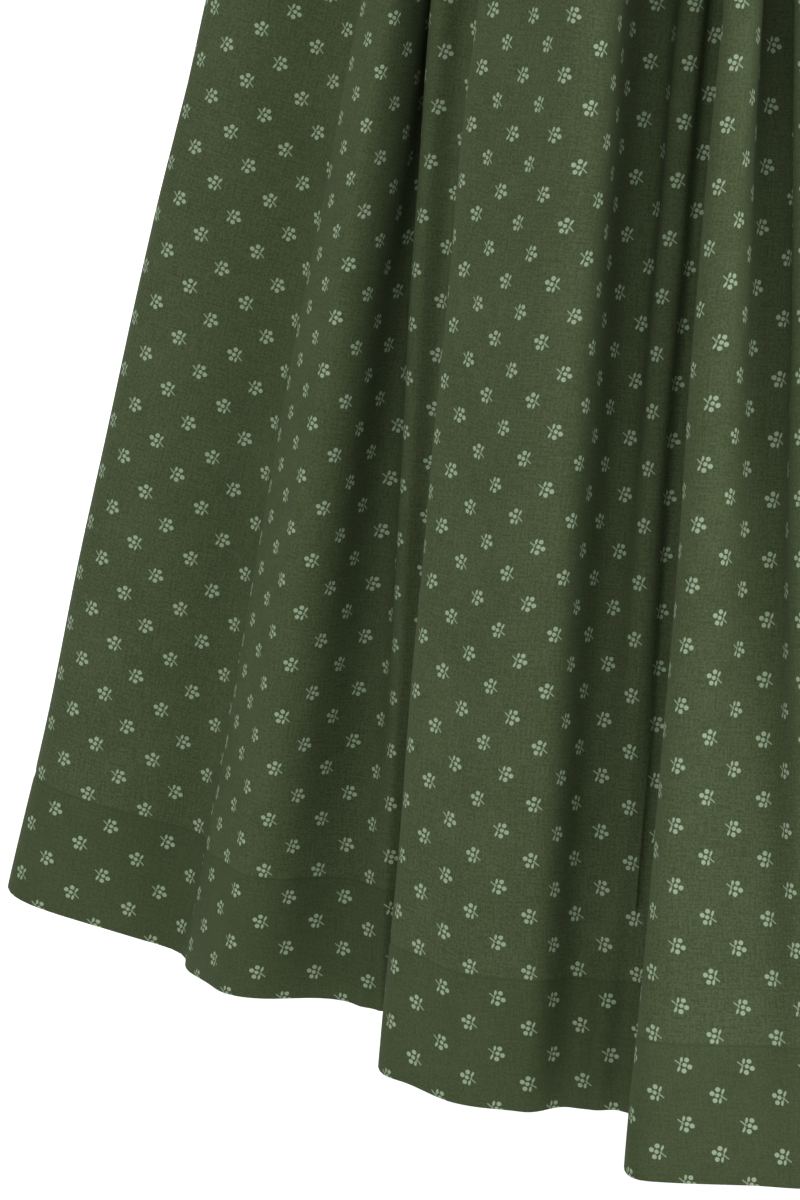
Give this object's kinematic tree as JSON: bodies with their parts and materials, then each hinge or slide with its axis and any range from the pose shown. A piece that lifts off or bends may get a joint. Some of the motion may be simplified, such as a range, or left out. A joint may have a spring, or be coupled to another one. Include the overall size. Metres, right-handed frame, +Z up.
{
  "type": "dirndl dress",
  "caption": "Worn, empty dirndl dress: fitted princess-seam bodice with shoulder straps and front buttons, sewn to a full gathered skirt that falls in large rolled folds.",
  "frame": {"origin": "at shoulder height, midway between the tops of the two shoulder straps, where the wearer's shoulders hold the dress", "axes": "+Z up, -Y is the front of the dress, -X is the wearer's right"},
  "size_m": [0.6734, 0.5982, 1.0806],
  "materials": {
    "cotton": "matt plain-weave cotton, dark green with a small pale sprig print",
    "button": "satin dark green"
  },
  "bodies": {
    "root": {"skirt_front": "cotton", "skirt_back": "cotton", "bodice_front_right": "cotton", "bodice_front_left": "cotton", "bodice_side_front_right": "cotton", "bodice_side_front_left": "cotton", "bodice_side_back_right": "cotton", "bodice_side_back_left": "cotton", "bodice_back": "cotton", "button_1": "button", "button_2": "button", "button_3": "button", "button_4": "button", "button_5": "button", "button_6": "button", "button_7": "button"}
  },
  "joints": []
}
